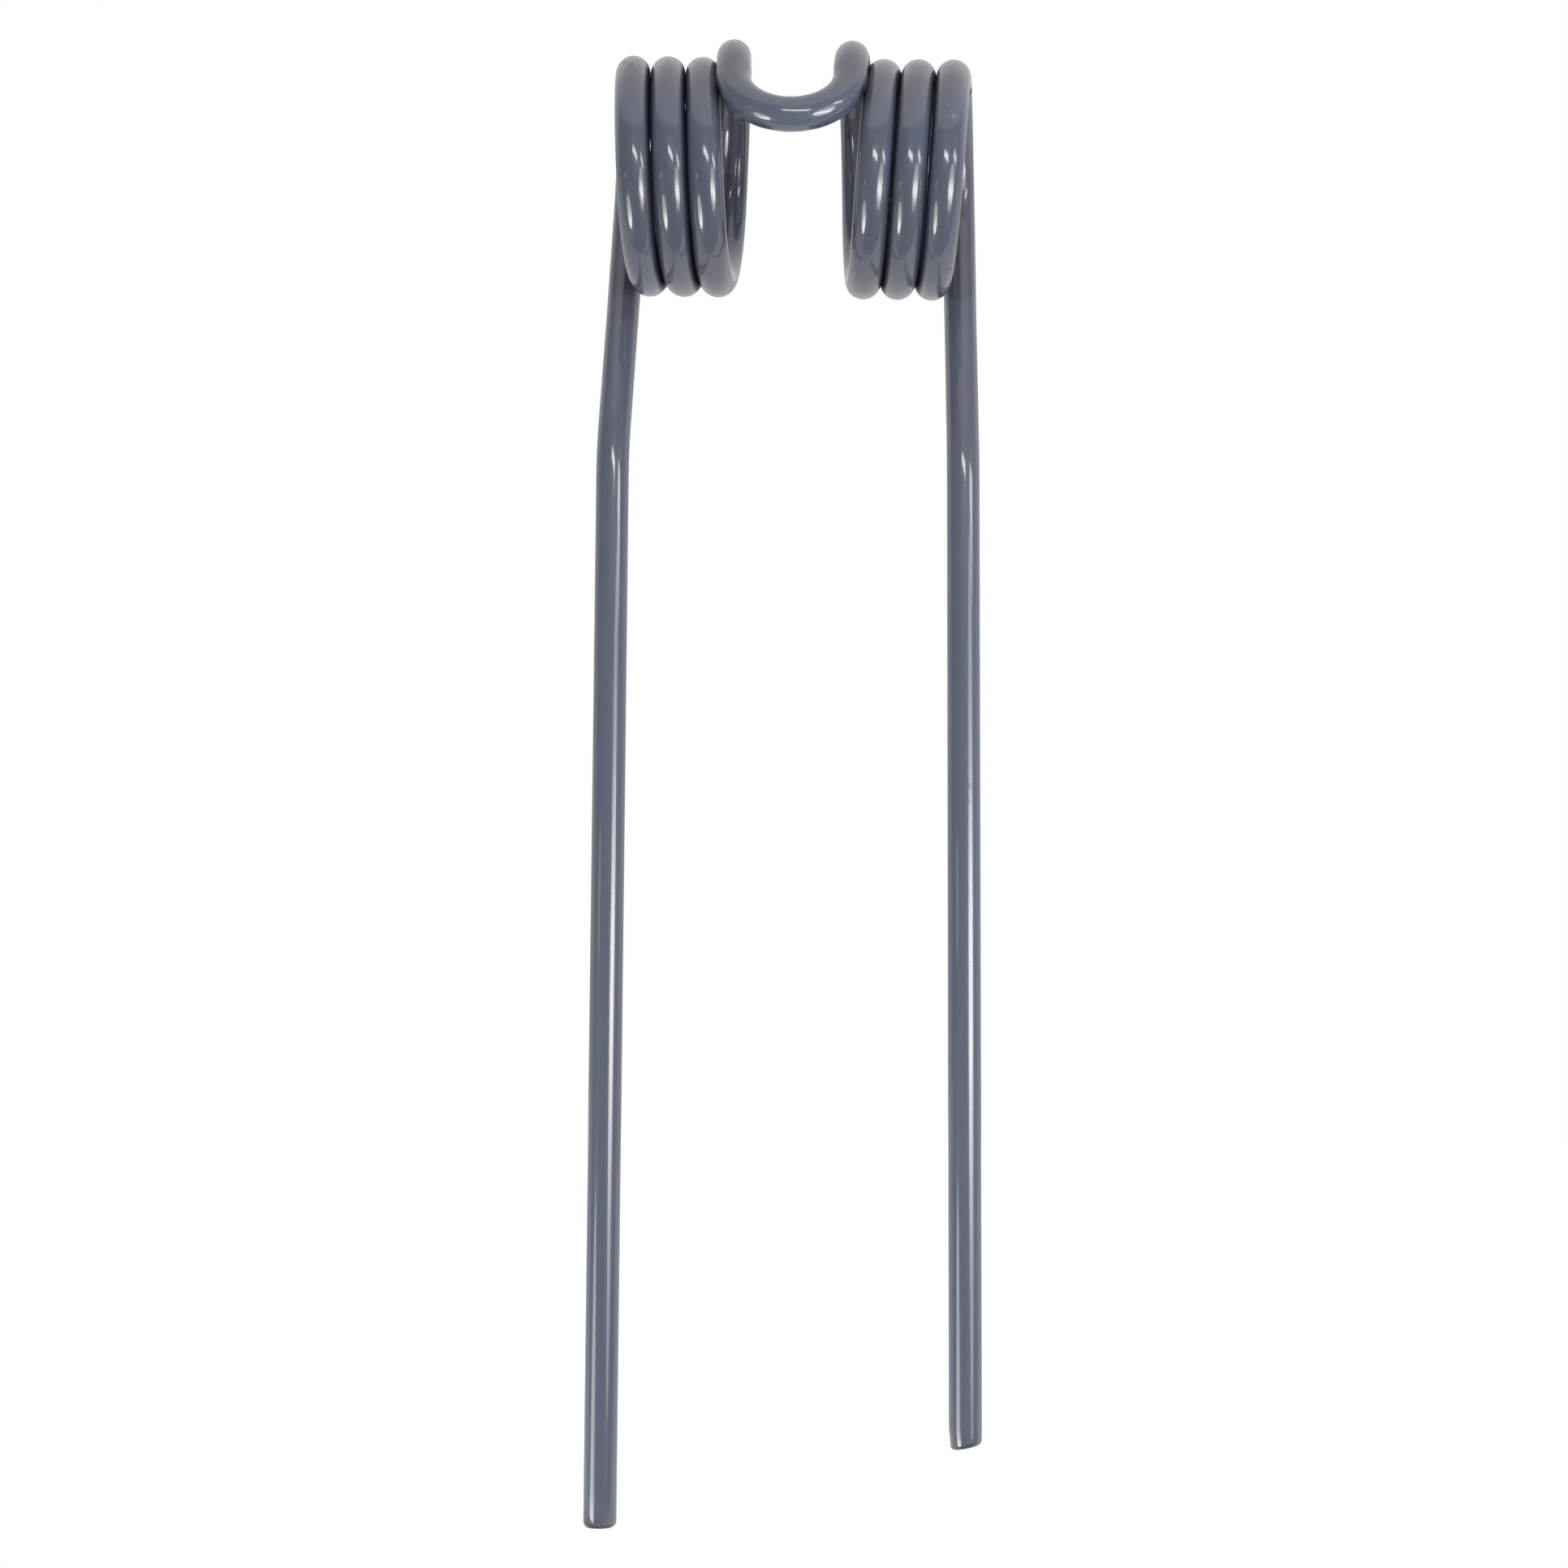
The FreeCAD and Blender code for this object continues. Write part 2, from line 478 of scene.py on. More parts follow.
class NodeGraph:
    """Short way to lay out a node tree's nodes and links."""

    def __init__(self, tree: bpy.types.NodeTree) -> None:
        """Start with an empty tree.

        Args:
            tree: node tree of a material, a lamp or the world.
        """
        self.tree = tree
        self.tree.nodes.clear()

    def add(self, kind: str, label: str, settings: dict | None = None,
            values: dict | None = None, links: dict | None = None) -> bpy.types.Node:
        """Add one node.

        Args:
            kind: the node's type name.
            label: what the node is for.
            settings: properties of the node.
            values: constants for its sockets, by name or number.
            links: output sockets to link to its sockets, by name or number.

        Returns:
            The new node.
        """
        node = self.tree.nodes.new(kind)
        node.label = label
        for name, value in (settings or {}).items():
            setattr(node, name, value)
        for socket, value in (values or {}).items():
            node.inputs[socket].default_value = value
        for socket, output in (links or {}).items():
            self.tree.links.new(output, node.inputs[socket])
        return node

    def feed(self, node: bpy.types.Node, number: int, term: Term | Colour) -> None:
        """Give one of a node's sockets a constant or a link.

        Args:
            node: the node.
            number: the socket's number.
            term: constant or output socket.
        """
        if isinstance(term, Socket):
            self.tree.links.new(term, node.inputs[number])
        else:
            node.inputs[number].default_value = term

    def math(self, operation: str, label: str, *terms: Term) -> Socket:
        """Work out one number.

        Args:
            operation: what to do.
            label: what the number is.
            terms: numbers or output sockets to work on.

        Returns:
            The socket that gives the number.
        """
        node = self.add("ShaderNodeMath", label, {"operation": operation})
        for number, term in enumerate(terms):
            self.feed(node, number, term)
        return node.outputs[0]

    def parts(self, label: str, place: Socket) -> bpy.types.bpy_prop_collection:
        """Take a point apart.

        Args:
            label: what its parts are.
            place: the point.

        Returns:
            The sockets that give its X, Y and Z.
        """
        return self.add("ShaderNodeSeparateXYZ", label, links={0: place}).outputs

    def rise(self, label: str, value: Socket, ramp: Ramp) -> Socket:
        """Follow a ramp as a value grows.

        Args:
            label: what the number is.
            value: the value that grows.
            ramp: the ramp to follow.

        Returns:
            The socket that gives the number.
        """
        node = self.add("ShaderNodeMapRange", label, {"interpolation_type": "SMOOTHSTEP"},
                        {1: ramp.start, 2: ramp.end, 3: ramp.first, 4: ramp.last}, {0: value})
        return node.outputs[0]

    def noise(self, label: str, place: Socket, grain: Grain) -> bpy.types.Node:
        """Add soft noise.

        Args:
            label: what the noise is.
            place: point in metres.
            grain: how coarse it is.

        Returns:
            The noise node, which gives a number first and a colour second.
        """
        return self.add("ShaderNodeTexNoise", label, links={"Vector": place},
                        values={"Scale": 1.0 / grain.size, "Detail": grain.detail})

    def blend(self, label: str, factor: Term, first: Colour | Socket,
              second: Colour | Socket) -> Socket:
        """Mix two colours.

        Args:
            label: what the mix is.
            factor: share of the second colour.
            first: colour or colour socket.
            second: colour or colour socket.

        Returns:
            The socket that gives the colour.
        """
        node = self.add("ShaderNodeMix", label, {"data_type": "RGBA"})
        for number, term in ((0, factor), (6, first), (7, second)):
            self.feed(node, number, term)
        return node.outputs[2]

    def bump(self, label: str, height: Socket, distance: float, normal: Socket | None = None) -> Socket:
        """Raise the surface a little.

        Args:
            label: what the relief is.
            height: how far it is raised, 0 to 1.
            distance: the whole height in metres.
            normal: relief that it is added to, or none.

        Returns:
            The normal.
        """
        links = {"Height": height} if normal is None else {"Height": height, "Normal": normal}
        return self.add("ShaderNodeBump", label, values={"Distance": distance}, links=links).outputs[0]


@dataclass(frozen=True)
class CoilGrooves:
    """Where the coils and the grooves between their turns lie.

    The turns climb sideways as they go round, so a point's distance along the coil is its sideways
    distance in pitches less its turn round the axis. Turns lie at whole numbers, grooves at halves.

    Attributes:
        first_turn: sideways distance in metres of the first turn from the middle of the tine.
        axis_back: distance in metres of the coils' axis behind the middle of the loop.
        axis_height: height in metres of the coils' axis.
        pitch: sideways distance in metres between turns.
        near_axis: share of coil over the distance from the axis.
        outside_loop: share of coil over the distance from the middle of the tine.
        past_first: share of groove over the distance along the coil, where the first one opens.
        beside_arm: share of groove over the height, where the arm lies against the first turn.
        before_last: share of groove over the distance along the coil, where the last one ends.
        hollow: depth in a groove over the distance from the nearest turn, in pitches.
    """

    first_turn: float = 0.01926
    axis_back: float = 0.02579
    axis_height: float = -0.02214
    pitch: float = 0.01002
    near_axis: Ramp = Ramp(0.0345, 0.0365, 1.0, 0.0)
    outside_loop: Ramp = Ramp(0.0160, 0.0190)
    past_first: Ramp = Ramp(-0.05, 0.15)
    beside_arm: Ramp = Ramp(-0.030, -0.005)
    before_last: Ramp = Ramp(1.85, 2.05, 1.0, 0.0)
    hollow: Ramp = Ramp(0.36, 0.48, 0.0, 0.95)

    def find(self, graph: NodeGraph, place: Socket) -> tuple[Socket, Socket]:
        """Find the coils and the grooves between their turns.

        Args:
            graph: graph to add to.
            place: point on the tine.

        Returns:
            How deep the point lies in a groove, and whether it lies on a coil, both 0 to 1.
        """
        part = graph.parts("parts", place)
        aside = graph.math("ABSOLUTE", "distance from the middle", part["X"])
        back = graph.math("SUBTRACT", "behind the coil's axis", part["Y"], self.axis_back)
        below = graph.math("SUBTRACT", "below the coil's axis", self.axis_height, part["Z"])
        along = self.along(graph, aside, back, below)
        nearest = graph.math("ROUND", "nearest turn", along)
        off = graph.math("ABSOLUTE", "off the turn", graph.math("SUBTRACT", "from the turn", along, nearest))
        squares = graph.math("ADD", "squares", graph.math("POWER", "back squared", back, 2.0),
                             graph.math("POWER", "below squared", below, 2.0))
        near = graph.rise("on a coil", graph.math("SQRT", "distance from the axis", squares), self.near_axis)
        coiled = graph.math("MULTIPLY", "coil alone", near,
                            graph.rise("outside the loop", aside, self.outside_loop))
        inner = graph.math("MAXIMUM", "inner side", graph.rise("past the first turn", along, self.past_first),
                           graph.rise("beside the arm", part["Z"], self.beside_arm))
        outer = graph.rise("before the last turn", along, self.before_last)
        ends = graph.math("MULTIPLY", "between turns", inner, outer)
        hollow = graph.rise("hollow", off, self.hollow)
        deep = graph.math("MULTIPLY", "groove", graph.math("MULTIPLY", "in coil", hollow, ends), coiled)
        return deep, coiled

    def along(self, graph: NodeGraph, aside: Socket, back: Socket, below: Socket) -> Socket:
        """Work out how far along the coil a point lies.

        Args:
            graph: graph to add to.
            aside: its distance from the middle of the tine.
            back: its distance behind the coils' axis.
            below: its distance below the coils' axis.

        Returns:
            The distance in turns.
        """
        turn = graph.math("ARCTAN2", "turn round the axis", below, back)
        turned = graph.math("FRACT", "share of a turn", graph.math("DIVIDE", "turns", turn, math.tau))
        run = graph.math("SUBTRACT", "from the first turn", aside, self.first_turn)
        pitches = graph.math("DIVIDE", "pitches", run, self.pitch)
        return graph.math("SUBTRACT", "turns along the coil", pitches, turned)


@dataclass(frozen=True)
class ShadedCutEnds:
    """The darker rims at the cut ends of the legs: thin paint on the cut, and painted shade along the dark
    bottom edge.

    Attributes:
        left_end: height in metres of the left leg's cut.
        right_end: height in metres at which the right leg's cut would meet the middle of the tine.
        right_slope: tilt in degrees of the right leg's cut.
        left_rim: height in metres of the left rim.
        right_rim: height in metres of the right rim.
        strength: how much darker the rims get, from thin paint and painted shade.
    """

    left_end: float = -0.4074
    right_end: float = -0.3959
    right_slope: float = 13.0
    left_rim: float = 0.0012
    right_rim: float = 0.0013
    strength: float = 0.85

    def find(self, graph: NodeGraph, place: Socket) -> Socket:
        """Find the rims.

        Args:
            graph: graph to add to.
            place: point on the tine.

        Returns:
            How much darker the rims are.
        """
        part = graph.parts("parts at the tips", place)
        drop = graph.math("MULTIPLY", "fall of the cut", part["X"], math.tan(math.radians(self.right_slope)))
        level = graph.math("SUBTRACT", "height over the right cut", part["Z"], drop)
        right_leg = graph.math("GREATER_THAN", "right leg", part["X"], 0.0)
        right = graph.rise("right end", level, self.fading(self.right_end, self.right_rim))
        left = graph.rise("left end", part["Z"], self.fading(self.left_end, self.left_rim))
        both = graph.math("MAXIMUM", "cut ends", graph.math("MULTIPLY", "right leg's end", right, right_leg),
                          left)
        return graph.math("MULTIPLY", "thin cover", both, self.strength)

    @staticmethod
    def fading(end: float, rim: float) -> Ramp:
        """Ramp that falls to nothing over the height of a rim."""
        return Ramp(end, end + rim, 1.0, 0.0)


@dataclass(frozen=True)
class Mark:
    """A small spot where the paint is chipped, scuffed or dirty, or a painted highlight.

    Attributes:
        place: its middle on the tine, in metres.
        reach: its radius in metres.
        strength: share of the clean paint that is gone or painted over there.
    """

    place: Place
    reach: float
    strength: float


@dataclass(frozen=True)
class Spots:
    """Small marks with ragged edges.

    Attributes:
        marks: the marks.
        ragged: grain of their edges.
        stray: how far in metres the edges stray in all.
        core: share of a mark's radius up to which it is whole.
    """

    marks: tuple[Mark, ...]
    ragged: Grain = Grain(0.0006, 3.0)
    stray: float = 0.0009
    core: float = 0.6

    def find(self, graph: NodeGraph, place: Socket) -> Socket:
        """Lay out the marks.

        Args:
            graph: graph to add to.
            place: point on the tine.

        Returns:
            How strong the marks are at the point, 0 to 1.
        """
        edge = graph.noise("ragged edge", place, self.ragged).outputs["Color"]
        shift = graph.add("ShaderNodeVectorMath", "shift by the edge", {"operation": "MULTIPLY_ADD"},
                          {1: (self.stray,) * 3, 2: (-self.stray / 2,) * 3}, {0: edge})
        moved = graph.add("ShaderNodeVectorMath", "ragged place", {"operation": "ADD"},
                          links={0: place, 1: shift.outputs[0]}).outputs[0]
        found = None
        for mark in self.marks:
            away = graph.add("ShaderNodeVectorMath", "from a mark", {"operation": "DISTANCE"},
                             {1: mark.place}, {0: moved}).outputs["Value"]
            spot = graph.rise("mark", away, Ramp(self.core * mark.reach, mark.reach, mark.strength, 0.0))
            found = spot if found is None else graph.math("MAXIMUM", "marks", found, spot)
        return found


@dataclass(frozen=True)
class GreyerParts:
    """The parts of the tine painted greyer, a painted sheen of the bright light that they mirror.

    Attributes:
        top: share over the height, for the arms and the coils' crowns.
        outside: share over the distance from the middle of the tine, for the legs.
        behind: share over the depth, for the legs.
        above_knees: share over the height, for the legs.
    """

    top: Ramp = Ramp(-0.010, 0.002)
    outside: Ramp = Ramp(0.040, 0.045)
    behind: Ramp = Ramp(0.020, 0.030, 0.0, 0.4)
    above_knees: Ramp = Ramp(-0.115, -0.085)

    def find(self, graph: NodeGraph, place: Socket) -> Socket:
        """Find the arms, the crowns and, less, the upper legs.

        Args:
            graph: graph to add to.
            place: point on the tine.

        Returns:
            How much greyer the paint is, up to 1.
        """
        part = graph.parts("parts of the place", place)
        crown = graph.rise("arms and crowns", part["Z"], self.top)
        aside = graph.math("ABSOLUTE", "off the middle", part["X"])
        outer = graph.rise("outside the coils", aside, self.outside)
        behind = graph.rise("behind the coils' front", part["Y"], self.behind)
        high = graph.rise("above the knees", part["Z"], self.above_knees)
        legs = graph.math("MULTIPLY", "upper legs", graph.math("MULTIPLY", "outer and behind", outer, behind),
                          high)
        return graph.math("MAXIMUM", "greyer parts", crown, legs)


@dataclass(frozen=True)
class PaintedCoilShade:
    """The parts of the coils darkened as painted shade: low on each coil and on the pass that runs from the
    arm into the coil.

    Attributes:
        low: share over the height on a coil.
        inside: share over the distance from the middle of the tine, for the pass that runs from the arm
            into the coil.
        behind: share over the depth, for that pass.
    """

    low: Ramp = Ramp(-0.036, -0.012, 0.30, 0.06)
    inside: Ramp = Ramp(0.0205, 0.0235, 1.0, 0.0)
    behind: Ramp = Ramp(0.020, 0.030, 0.0, 0.32)

    def find(self, graph: NodeGraph, place: Socket, coiled: Socket) -> Socket:
        """Find the lower coils and the passes that run into them.

        Args:
            graph: graph to add to.
            place: point on the tine.
            coiled: whether the point is on a coil.

        Returns:
            How much painted shade there is, up to 1.
        """
        part = graph.parts("parts on the coil", place)
        # Painted shade, stronger lower on the coil.
        below = graph.rise("thicker below", part["Z"], self.low)
        shade = graph.math("MULTIPLY", "coil shade", coiled, below)
        inward = graph.rise("between the coils", graph.math("ABSOLUTE", "off the middle", part["X"]),
                            self.inside)
        behind = graph.rise("behind the arms", part["Y"], self.behind)
        inner_pass = graph.math("MULTIPLY", "inner pass", inward, behind)
        return graph.math("MAXIMUM", "thickest", shade, inner_pass)


@dataclass(frozen=True)
class Dust:
    """Dust specks that dried into the paint, at random.

    Attributes:
        cells: how many cells a metre has, each with room for one speck.
        bare_cells: share of the cells that have none.
        speck: strength of a speck over the distance from its middle, in cells.
    """

    cells: float = 210.0
    bare_cells: float = 0.90
    speck: Ramp = Ramp(0.03, 0.07, 0.30, 0.0)

    def find(self, graph: NodeGraph, place: Socket) -> Socket:
        """Strew the specks.

        Args:
            graph: graph to add to.
            place: point on the tine.

        Returns:
            How strong the dust is at the point, 0 to 1.
        """
        cells = graph.add("ShaderNodeTexVoronoi", "dust", values={"Scale": self.cells},
                          links={"Vector": place})
        chance = graph.add("ShaderNodeSeparateColor", "chance", links={0: cells.outputs["Color"]})
        rare = graph.math("GREATER_THAN", "few specks", chance.outputs[0], self.bare_cells)
        speck = graph.rise("speck", cells.outputs["Distance"], self.speck)
        return graph.math("MULTIPLY", "dust", speck, rare)


@dataclass(frozen=True)
class PaintRelief:
    """Relief of the paint: slow waves, orange peel, drawn lines on the legs, and sunken chips.

    Attributes:
        layers: the waves and peels, each with its name, its grain and its height in metres.
        stretch: how the drawn lines are stretched along the legs.
        lines: grain of the drawn lines.
        line_height: height in metres of the drawn lines.
        legs: share of the lines over the height on the tine.
        chip_depth: depth in metres of the chips.
    """

    layers: tuple[tuple[str, Grain, float], ...] = (
        ("slow waves", Grain(0.011, 1.0), 0.000090),
        ("orange peel", Grain(0.0024, 1.0), 0.000016),
        ("fine peel", Grain(0.0007, 1.0), 0.000002),
    )
    stretch: Place = (1.0, 1.0, 0.02)
    lines: Grain = Grain(0.0011, 2.0)
    line_height: float = 0.000004
    legs: Ramp = Ramp(-0.10, -0.07, 1.0, 0.0)
    chip_depth: float = 0.00006

    def raise_surface(self, graph: NodeGraph, place: Socket, gone: Socket) -> Socket:
        """Lay the layers over each other.

        Args:
            graph: graph to add to.
            place: point on the tine.
            gone: share of the paint that is gone.

        Returns:
            The normal.
        """
        normal = None
        for label, grain, height in self.layers:
            normal = graph.bump(label, graph.noise(label, place, grain).outputs[0], height, normal)
        stretched = graph.add("ShaderNodeMapping", "stretched down the legs",
                              values={"Scale": self.stretch}, links={0: place}).outputs[0]
        lines = graph.noise("drawn lines", stretched, self.lines).outputs[0]
        on_legs = graph.rise("legs", graph.parts("height", place)["Z"], self.legs)
        drawn = graph.math("MULTIPLY", "lines on the legs", lines, on_legs)
        normal = graph.bump("drawn lines", drawn, self.line_height, normal)
        sunken = graph.math("SUBTRACT", "sunken", 1.0, gone)
        return graph.bump("chips", sunken, self.chip_depth, normal)


@dataclass(frozen=True)
class GlossPaint:
    """Glossy dipped paint over spring steel, with painted shade in the grooves, low in the coils and at the
    cut ends, a painted grey sheen on top, a few painted highlights, and small chips and scuffs.

    All colours are linear.

    Attributes:
        cool: the paint where it looks bluest.
        warm: the paint where it looks less blue.
        painted_grey_sheen: the paint greyer where it mirrors the bright light from above, a painted sheen.
        mottle: the darkest of the fine grain.
        thick: the paint darkened as painted shade, low in the coils and on the passes into them.
        groove: painted shade deep between two turns, where no light gets in.
        dust: dust in the paint, and the pale grey of the painted highlights.
        scale_and_rim_shade: the dark scale under a chip, and the painted shade on the rims of the cut ends.
        patches: grain of the cool and warm patches.
        patch_blend: share of the warm shade over that grain.
        fine: the fine grain.
        fine_blend: share of the darkest shade over that grain.
        cloudy: grain of the uneven gloss.
        clean_gloss: roughness of clean paint over that grain.
        dull_groove: share of the gloss that a groove lacks.
        worn_roughness: how much rougher the paint is where its gloss is gone.
        groove_mirror: level of mirroring over the depth in a groove.
        paint_ior: refraction of the paint.
        coat_ior: refraction of the gloss on it.
        coat_roughness: roughness of the gloss on it.
        grooves: where the coils and the grooves lie.
        greyer: where the painted sheen makes the paint greyer.
        painted_shade: where the coils are darkened as painted shade.
        ends: the cut ends, thinly painted and darkened with painted shade.
        specks: specks of dust at random.
        pale: pale specks in known places, painted highlights.
        damage: chips and scuffs.
        relief: relief of the paint.
    """

    cool: Colour = (0.114, 0.131, 0.197, 1.0)
    warm: Colour = (0.122, 0.136, 0.186, 1.0)
    # Painted sheen: a greyer tone where the wire mirrors the light from above.
    painted_grey_sheen: Colour = (0.117, 0.121, 0.155, 1.0)
    mottle: Colour = (0.070, 0.082, 0.125, 1.0)
    # Painted shade: darker colour low in the coils and on the passes into them.
    thick: Colour = (0.030, 0.034, 0.052, 1.0)
    # Painted shade: the colour deep in the grooves between the turns.
    groove: Colour = (0.022, 0.026, 0.047, 1.0)
    # Pale grey of the dust specks, also used for the painted highlights.
    dust: Colour = (0.34, 0.34, 0.33, 1.0)
    # Dark scale under the chips, also used as painted shade on the rims of the cut ends.
    scale_and_rim_shade: Colour = (0.012, 0.013, 0.014, 1.0)
    patches: Grain = Grain(0.022, 2.0)
    patch_blend: Ramp = Ramp(0.35, 0.65)
    fine: Grain = Grain(0.0016, 4.0)
    fine_blend: Ramp = Ramp(0.3, 0.7, 0.0, 0.10)
    cloudy: Grain = Grain(0.012, 3.0)
    clean_gloss: Ramp = Ramp(0.3, 0.7, 0.29, 0.38)
    dull_groove: float = 0.8
    worn_roughness: float = 0.45
    groove_mirror: Ramp = Ramp(0.0, 1.0, 0.5, 0.1)
    paint_ior: float = 1.5
    coat_ior: float = 1.7
    coat_roughness: float = 0.06
    grooves: CoilGrooves = CoilGrooves()
    greyer: GreyerParts = GreyerParts()
    painted_shade: PaintedCoilShade = PaintedCoilShade()
    ends: ShadedCutEnds = ShadedCutEnds()
    specks: Dust = Dust()
    # Painted highlights: two small light spots on the right coil's front.
    pale: Spots = Spots((
        Mark((0.0455, -0.0070, -0.0134), 0.0010, 0.35),
        Mark((0.0448, -0.0066, -0.0120), 0.0005, 0.30),
    ))
    damage: Spots = Spots((
        Mark((-0.0476, 0.0065, 0.0053), 0.0011, 0.35),
        Mark((-0.0457, 0.0036, 0.0037), 0.0014, 0.25),
        Mark((0.0512, 0.0277, 0.0052), 0.0015, 1.0),
        Mark((0.0507, 0.0135, 0.0046), 0.0007, 0.5),
        Mark((0.0494, -0.0018, -0.0103), 0.0007, 0.4),
        Mark((0.0457, 0.0120, -0.0516), 0.0007, 0.6),
        Mark((0.0542, 0.0346, -0.1965), 0.0013, 0.22),
        Mark((0.0542, 0.0346, -0.2008), 0.0008, 0.25),
        Mark((0.0552, 0.0346, -0.2467), 0.0004, 0.4),
        Mark((0.0554, 0.0346, -0.2605), 0.0004, 0.4),
        Mark((-0.0202, 0.0491, -0.0141), 0.0008, 0.4),
    ))
    relief: PaintRelief = PaintRelief()

    def make(self) -> bpy.types.Material:
        """Build the paint.

        Returns:
            The material.
        """
        material = bpy.data.materials.new("gloss_dipped_paint")
        material.use_nodes = True
        graph = NodeGraph(material.node_tree)
        place = graph.add("ShaderNodeTexCoord", "place on the tine").outputs["Object"]
        deep, coiled = self.grooves.find(graph, place)
        gone = self.damage.find(graph, place)
        clean = self.clean_colour(graph, place, coiled)
        dull = graph.math("MAXIMUM", "not glossy",
                          graph.math("MULTIPLY", "dull grooves", deep, self.dull_groove), gone)
        shader = graph.add("ShaderNodeBsdfPrincipled", "paint", values={
            "IOR": self.paint_ior,
            "Coat IOR": self.coat_ior,
            "Coat Roughness": self.coat_roughness,
        }, links={
            "Base Color": self.worn_colour(graph, place, clean, deep, gone),
            "Roughness": self.roughness(graph, place, dull),
            "Coat Weight": graph.math("SUBTRACT", "gloss left", 1.0, dull),
            "Specular IOR Level": graph.rise("less mirror in the grooves", deep, self.groove_mirror),
            "Normal": self.relief.raise_surface(graph, place, gone),
        })
        graph.add("ShaderNodeOutputMaterial", "surface", links={"Surface": shader.outputs["BSDF"]})
        return material

    def clean_colour(self, graph: NodeGraph, place: Socket, coiled: Socket) -> Socket:
        """Mix the colour of clean paint from its close shades, with a painted grey sheen on top and painted
        shade in the coils.

        Args:
            graph: graph to add to.
            place: point on the tine.
            coiled: whether the point is on a coil.

        Returns:
            The colour.
        """
        patches = graph.noise("broad patches", place, self.patches).outputs[0]
        mottled = graph.blend("cool and warm", graph.rise("broad shade", patches, self.patch_blend),
                              self.cool, self.warm)
        # Painted sheen: greyer at the top and on the upper legs.
        toned = graph.blend("greyer at the top", self.greyer.find(graph, place), mottled, self.painted_grey_sheen)
        fine = graph.noise("fine mottle", place, self.fine).outputs[0]
        grained = graph.blend("fine grain", graph.rise("fine shade", fine, self.fine_blend),
                              toned, self.mottle)
        # Painted shade: darker low in the coils and on the passes into them.
        return graph.blend("thicker in the coils", self.painted_shade.find(graph, place, coiled),
                           grained, self.thick)

    def worn_colour(self, graph: NodeGraph, place: Socket, clean: Socket, deep: Socket,
                    gone: Socket) -> Socket:
        """Add dust, the painted highlights of the pale specks, the painted shade of the grooves, chips and
        the darkened cut ends to the clean paint.

        Args:
            graph: graph to add to.
            place: point on the tine.
            clean: colour of the clean paint, with its painted sheen and painted shade.
            deep: depth in a groove.
            gone: share of the paint that is gone.

        Returns:
            The colour.
        """
        dusty = graph.blend("dust specks", self.specks.find(graph, place), clean, self.dust)
        # Painted highlights: the pale specks.
        pale = graph.blend("pale specks", self.pale.find(graph, place), dusty, self.dust)
        # Painted shade: the grooves between the turns are darkened.
        dark = graph.blend("grooves", deep, pale, self.groove)
        worn = graph.blend("chips and scuffs", gone, dark, self.scale_and_rim_shade)
        # Painted shade: the rims of the cut ends are darkened, partly as thin paint.
        return graph.blend("cut ends", self.ends.find(graph, place), worn, self.scale_and_rim_shade)

    def roughness(self, graph: NodeGraph, place: Socket, dull: Socket) -> Socket:
        """Make the gloss uneven, and dull where the paint is worn.

        Args:
            graph: graph to add to.
            place: point on the tine.
            dull: how far the gloss is gone.

        Returns:
            The roughness.
        """
        cloudy = graph.noise("cloudy gloss", place, self.cloudy).outputs[0]
        clean = graph.rise("clean gloss", cloudy, self.clean_gloss)
        return graph.math("MULTIPLY_ADD", "roughness", dull, self.worn_roughness, clean)


@dataclass(frozen=True)
class Softbox:
    """A flat lamp that faces a point of the tine.

    Attributes:
        name: what it is.
        place: where its middle hangs, in metres.
        aim: point that it faces.
        width: its width in metres.
        height: its height in metres.
        radiance: brightness of its face.
        roll: turn in degrees about its own axis.
        oval: whether it is an oval instead of a rectangle.
        glow: how many times brighter its brightest band is.
        glow_height: where that band lies, from 0 at the bottom to 1 at the top.
        glow_reach: distance over which the glow fades, as a share of the height.
    """

    name: str
    place: Place
    aim: Place
    width: float
    height: float
    radiance: float
    roll: float = 0.0
    oval: bool = False
    glow: float = 1.0
    glow_height: float = 0.5
    glow_reach: float = 0.45

    def shine(self, data: bpy.types.AreaLight) -> None:
        """Grade the lamp's face, brightest in one band across it.

        Args:
            data: the lamp's data.
        """
        data.use_nodes = True
        graph = NodeGraph(data.node_tree)
        face = graph.add("ShaderNodeNewGeometry", "place on the lamp").outputs["Parametric"]
        height = graph.parts("sideways and up", face)["Y"]
        above = graph.math("SUBTRACT", "above the band", height, self.glow_height)
        off = graph.math("ABSOLUTE", "off the band", above)
        strength = graph.rise("brightness", off, Ramp(0.0, self.glow_reach, self.glow, 1.0))
        light = graph.add("ShaderNodeEmission", "light", links={"Strength": strength})
        graph.add("ShaderNodeOutputLight", "lamp", links={"Surface": light.outputs[0]})

    def hang(self) -> bpy.types.Object:
        """Put the lamp into the scene.

        Returns:
            The lamp.
        """
        data = bpy.data.lights.new(self.name, "AREA")
        data.shape = "ELLIPSE" if self.oval else "RECTANGLE"
        data.size = self.width
        data.size_y = self.height
        data.energy = self.radiance * self.width * self.height * math.pi
        if self.glow != 1.0:
            self.shine(data)
        lamp = bpy.data.objects.new(self.name, data)
        bpy.context.collection.objects.link(lamp)
        lamp.location = self.place
        facing = (Vector(self.aim) - Vector(self.place)).to_track_quat("-Z", "Y")
        rolled = facing @ Quaternion((0.0, 0.0, 1.0), math.radians(self.roll))
        lamp.rotation_euler = rolled.to_euler()
        lamp.visible_camera = False
        return lamp


